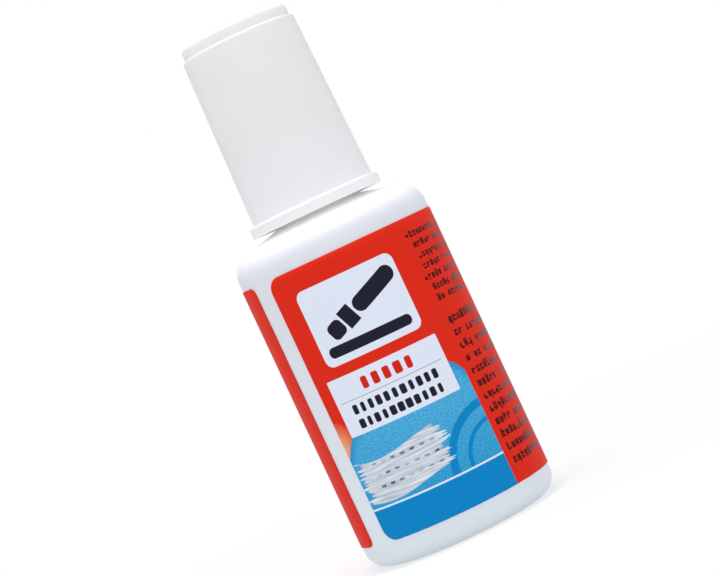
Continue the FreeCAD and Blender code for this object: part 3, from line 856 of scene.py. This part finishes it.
def fieldEdge(tree, x, spec):
    # upper edge of the blue field: top - dip exp(-rate (x - start)), less a square past dropFrom
    run = times(tree, minus(tree, x, spec["start"]), -spec["rate"])
    rise = scaled(tree, maths(tree, "EXPONENT", run), -spec["dip"], spec["top"])
    past = maths(tree, "MAXIMUM", minus(tree, x, spec["dropFrom"]), 0.0)
    return scaled(tree, times(tree, past, past), -spec["dropRate"], rise)


def paintSky(tree, x, z, flat, grain, edge, spec):
    # paler upwards and speckled, deeper along its upper edge, with two darker arcs about a point
    # at its lower right
    lift = softStep(tree, minus(tree, z, spec["foot"]), spec["liftRate"], spec["liftStart"])
    pale = plus(tree, lift, times(tree, grain, spec["grain"]), clamp=True)
    sky = mixColour(tree, ink["skyDeep"], ink["sky"], pale)
    speckle = noise(tree, flat, spec["speckleScale"])
    speckle = scaled(tree, speckle, spec["speckleDepth"], 1.0 - 0.5 * spec["speckleDepth"])
    sky = node(tree, "VectorMath", operation="SCALE", in_0=sky, in_Scale=speckle).outputs[0]
    rim = softStep(tree, minus(tree, z, edge), spec["rimRate"], 1.0)
    sky = mixColour(tree, sky, ink["blue"], times(tree, rim, spec["rimDepth"]))
    ray = distanceFrom(tree, x, z, spec["arcX"], spec["arcZ"])
    for radius, half in spec["arcs"]:
        off = maths(tree, "ABSOLUTE", minus(tree, ray, radius))
        arc = softStep(tree, minus(tree, off, half), -spec["arcRate"])
        sky = mixColour(tree, sky, ink["blue"], arc)
    return sky


def paintStroke(tree, x, z, sky, spec):
    # pale stroke over the sky: a band about a slow wave, frayed at its ends and streaked by a
    # noise drawn out in x; rows of small dashes show through its thinner streaks
    drawn = node(tree, "CombineXYZ", in_0=times(tree, x, spec["stretchX"]),
                 in_1=times(tree, z, spec["stretchZ"])).outputs[0]
    streak = noise(tree, drawn, 1.0, 4.0)
    swing = maths(tree, "SINE", scaled(tree, x, spec["waveRate"], spec["waveStart"]))
    middle = scaled(tree, swing, spec["wave"], spec["z"])
    inBand = minus(tree, spec["half"], maths(tree, "ABSOLUTE", minus(tree, z, middle)))
    frayed = times(tree, minus(tree, streak, 0.5), spec["fray"])
    right = plus(tree, minus(tree, spec["right"], x), frayed)
    left = plus(tree, minus(tree, x, spec["left"]), frayed)
    inside = maths(tree, "MINIMUM", maths(tree, "MINIMUM", inBand, right), left)
    shade = softStep(tree, streak, spec["shadeRate"], spec["shadeStart"])
    paint = mixColour(tree, ink["strokeShade"], ink["stroke"], shade)
    sky = mixColour(tree, sky, paint, softStep(tree, inside, spec["edgeRate"]))
    thin = softStep(tree, streak, spec["thinRate"], spec["thinStart"])
    for row in spec["dashes"]:
        sky = mixColour(tree, sky, ink["dash"], times(tree, blockMask(tree, x, z, row), thin))
    return sky


def paintField(tree, x, z, flat, grain, ground, spec):
    # warm glow at the field's left end, then the field with its stroke, solid band and thin line
    away = distanceFrom(tree, x, z, *spec["glow"])
    colour = mixColour(tree, ground, ink["glow"], minus(tree, 1.0, away, clamp=True))
    edge = fieldEdge(tree, x, spec["edge"])
    under = softStep(tree, minus(tree, edge, z), spec["edge"]["softRate"])
    field = times(tree, under, boxMask(tree, x, z, spec["field"]))
    sky = paintSky(tree, x, z, flat, grain, edge, spec["sky"])
    sky = paintStroke(tree, x, z, sky, spec["stroke"])
    colour = mixColour(tree, colour, sky, field)
    for shape, tone in ((spec["band"], ink["blue"]), (spec["line"], ink["paper"])):
        colour = mixColour(tree, colour, tone, times(tree, boxMask(tree, x, z, shape), field))
    return colour


def paintPanels(tree, x, z, colour, spec):
    # upper panel: plain sheet with a brush over a broad dark stroke; lower panel: a red row of
    # blocks, a thin rule and two dark rows
    colour = mixColour(tree, colour, ink["paper"], boxMask(tree, x, z, spec["upper"]))
    dark = boxMask(tree, x, z, spec["brush"][0])
    for shape in spec["brush"][1:]:
        dark = maths(tree, "MAXIMUM", dark, boxMask(tree, x, z, shape))
    colour = mixColour(tree, colour, ink["black"], dark)
    colour = mixColour(tree, colour, ink["paper"], boxMask(tree, x, z, spec["lower"]))
    colour = mixColour(tree, colour, ink["word"], blockMask(tree, x, z, spec["word"]))
    colour = mixColour(tree, colour, ink["rule"], boxMask(tree, x, z, spec["rule"]))
    for row in spec["rows"]:
        colour = mixColour(tree, colour, ink["black"], blockMask(tree, x, z, row))
    return colour


def paintSmallPrint(tree, x, z, flat, colour, spec):
    # two paragraphs with two bullets, their strokes bent a little by a noise; the ink is painted
    # paler towards the side as a painted sheen where the wall turns away
    bend = node(tree, "TexNoise", in_Vector=flat, in_Scale=spec["bendScale"],
                in_Detail=1.0).outputs["Color"]
    bend = node(tree, "SeparateColor", in_0=bend).outputs
    px, pz = [plus(tree, value, scaled(tree, part, spec["bend"], -0.5 * spec["bend"]))
              for value, part in ((x, bend[0]), (z, bend[1]))]
    upper = useGroup(tree, printRows, x=px, z=pz, **spec["upper"])
    lower = useGroup(tree, printRows, x=px, z=pz, **spec["lower"])
    letters = maths(tree, "MAXIMUM", upper.outputs[0], lower.outputs[0])
    for bullet in spec["bullets"]:
        letters = maths(tree, "MAXIMUM", letters, boxMask(tree, x, z, bullet))
    # painted sheen: the letters turn to the paler ink towards the side
    paintedSheen = maths(tree, "DIVIDE", minus(tree, x, spec["sheenFrom"]), spec["sheenOver"], clamp=True)
    return mixColour(tree, colour, mixColour(tree, ink["small"], ink["smallPaintedSheen"], paintedSheen), letters)


def makeLabelInk(wrap):
    # fields of colour laid one over the other, each by a mask worked out from x and z, on satin
    # film with a faint waviness
    material, tree, shader = newMaterial("labelInk")
    parts = node(tree, "SeparateXYZ", in_0=node(tree, "UVMap", uv_map="wrap").outputs[0])
    tall, printFoot = wrap["top"] - wrap["foot"], wrap["foot"] - wrap["printZero"]
    x = scaled(tree, parts.outputs[0], wrap["length"], wrap["start"])
    z = scaled(tree, parts.outputs[1], tall, printFoot)
    flat = node(tree, "CombineXYZ", in_0=x, in_1=z).outputs[0]
    grain = noise(tree, flat, wrap["grainScale"])
    colour = mixColour(tree, ink["red"], ink["deepRed"], times(tree, grain, wrap["grainDepth"]))
    colour = paintField(tree, x, z, flat, grain, colour, fieldPrint)
    colour = paintPanels(tree, x, z, colour, panelPrint)
    colour = paintSmallPrint(tree, x, z, flat, colour, smallPrint)

    place = node(tree, "TexCoord").outputs["Object"]
    tooth = useGroup(tree, plasticTooth, place=place, roughness=wrap["roughness"], spread=wrap["spread"],
                     fineScale=wrap["toothScale"])
    joinFinish(tree, shader, colour, tooth, wrap["bump"])
    shader.inputs["Specular IOR Level"].default_value = wrap["specular"]
    return material


labelInk = makeLabelInk(label)

for piece, material in ((bottleShell, whiteBottle), (threadRidge, whiteBottle), (labelFilm, labelInk),
                        (capShell, whiteCap), (innerRidge, whiteClosure), (wiperPlug, whiteWiper),
                        (stemRod, whiteStem), (bristles, nylon), (brushLoad, wetFluid)):
    dress(piece, material)
for name, material in (("screw_closure", whiteClosure), ("seal_washer", washerFoam),
                       ("bristle_anchor", anchorMetal), ("mixing_ball", ballSteel),
                       ("correction_fluid", wetFluid)):
    dress(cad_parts[name], material)
print("materials made")

# Floor and light: a pale floor that fades into a white surround
floorSpec = {"radius": 3000.0, "fadeFrom": 20.0, "fadeTo": 160.0, "near": 0.6, "sink": 0.02,
             "rings": 40, "turns": 128, "dark": (0.93, 0.93, 0.94, 1), "pale": (0.95, 0.95, 0.95, 1),
             "grainScale": 900.0, "roughness": 0.7, "specular": 0.2}


def makeFloor(spec):
    # flat disc: ring k has radius R (k / n)^2, dense near the object; its finish gives way to
    # plain white light from fadeFrom to fadeTo
    r = spec["radius"] * np.linspace(0, 1, spec["rings"]) ** 2
    line = np.stack([r, np.full_like(r, -spec["sink"])], axis=1)
    piece = turnProfile("floor", line, spec["turns"])
    material, tree, shader = newMaterial("paleFloor")
    place = node(tree, "TexCoord").outputs["Object"]
    away = node(tree, "VectorMath", operation="LENGTH", in_0=place).outputs["Value"]
    fade = node(tree, "MapRange", interpolation_type="SMOOTHSTEP", in_Value=away,
                in_1=spec["fadeFrom"] * mm, in_2=spec["fadeTo"] * mm, in_3=spec["near"]).outputs[0]
    grain = noise(tree, place, spec["grainScale"])
    tone = mixColour(tree, spec["dark"], spec["pale"], grain)
    feedAll(tree, shader, {"Base Color": tone, "Roughness": spec["roughness"],
                           "Specular IOR Level": spec["specular"]})
    glowNode = node(tree, "Emission", in_Color=(1, 1, 1, 1), in_Strength=1.0)
    mix = node(tree, "MixShader", in_0=fade, in_1=shader.outputs[0], in_2=glowNode.outputs[0])
    tree.links.new(mix.outputs[0], tree.nodes["Material Output"].inputs["Surface"])
    dress(piece, material)


makeFloor(floorSpec)

light = {"top": 0.45, "side": 0.98, "back": 0.4}


def makeSurround(spec):
    # plain white for the lens; the object is lit by a dome whose strength goes from side to top
    # with the height of the direction and falls behind by back times the square of y
    world = bpy.data.worlds.new("surround")
    bpy.context.scene.world = world
    world.use_nodes = True
    tree = world.node_tree
    background = tree.nodes["Background"]
    direction = node(tree, "SeparateXYZ",
                     in_0=node(tree, "TexCoord").outputs["Generated"])
    up = scaled(tree, direction.outputs[2], spec["top"] - spec["side"], spec["side"])
    behind = maths(tree, "MAXIMUM", direction.outputs[1], 0.0)
    dim = scaled(tree, times(tree, behind, behind), -spec["back"], 1.0)
    up = times(tree, up, dim)
    lightPath = node(tree, "LightPath")
    strength = node(tree, "Mix", in_0=lightPath.outputs["Is Camera Ray"], in_2=up, in_3=1.0)
    feedAll(tree, background, {"Color": (1, 1, 1, 1), "Strength": strength.outputs[0]})


makeSurround(light)

# Softboxes, in metres and watts; only the bottle and its label shade the fill, which reaches the
# shoulder under the cap's flange as light does through the thin white walls
softboxes = {
    "overhead": {"place": (0.0, -0.03, 0.60), "size": (0.03, 0.03), "power": 0.92, "blockers": []},
    "front": {"place": (0.05, -0.60, 0.20), "size": (0.16, 0.5), "power": 0.15, "blockers": []},
    "fill": {"place": (0.0, -0.09, 0.60), "size": (0.3, 0.3), "power": 1.05,
             "blockers": [bottleShell, labelFilm]},
}
lightAim = (0.0, 0.0, 0.035)


def addSoftbox(name, spec, aim):
    # oblong light turned to the aim; with blockers, only those pieces shade it
    data = bpy.data.lights.new(name, "AREA")
    data.shape = "RECTANGLE"
    data.size, data.size_y = spec["size"]
    data.energy = spec["power"]
    item = bpy.data.objects.new(name, data)
    item.location = spec["place"]
    item.rotation_euler = (Vector(aim) - Vector(spec["place"])).to_track_quat("-Z", "Y").to_euler()
    bpy.context.scene.collection.objects.link(item)
    if spec["blockers"]:
        group = bpy.data.collections.new(name + "Blockers")
        for piece in spec["blockers"]:
            group.objects.link(piece)
        item.light_linking.blocker_collection = group


for title, values in softboxes.items():
    addSoftbox(title, values, lightAim)

bpy.context.scene.view_settings.view_transform = "Standard"
print("floor and light made")
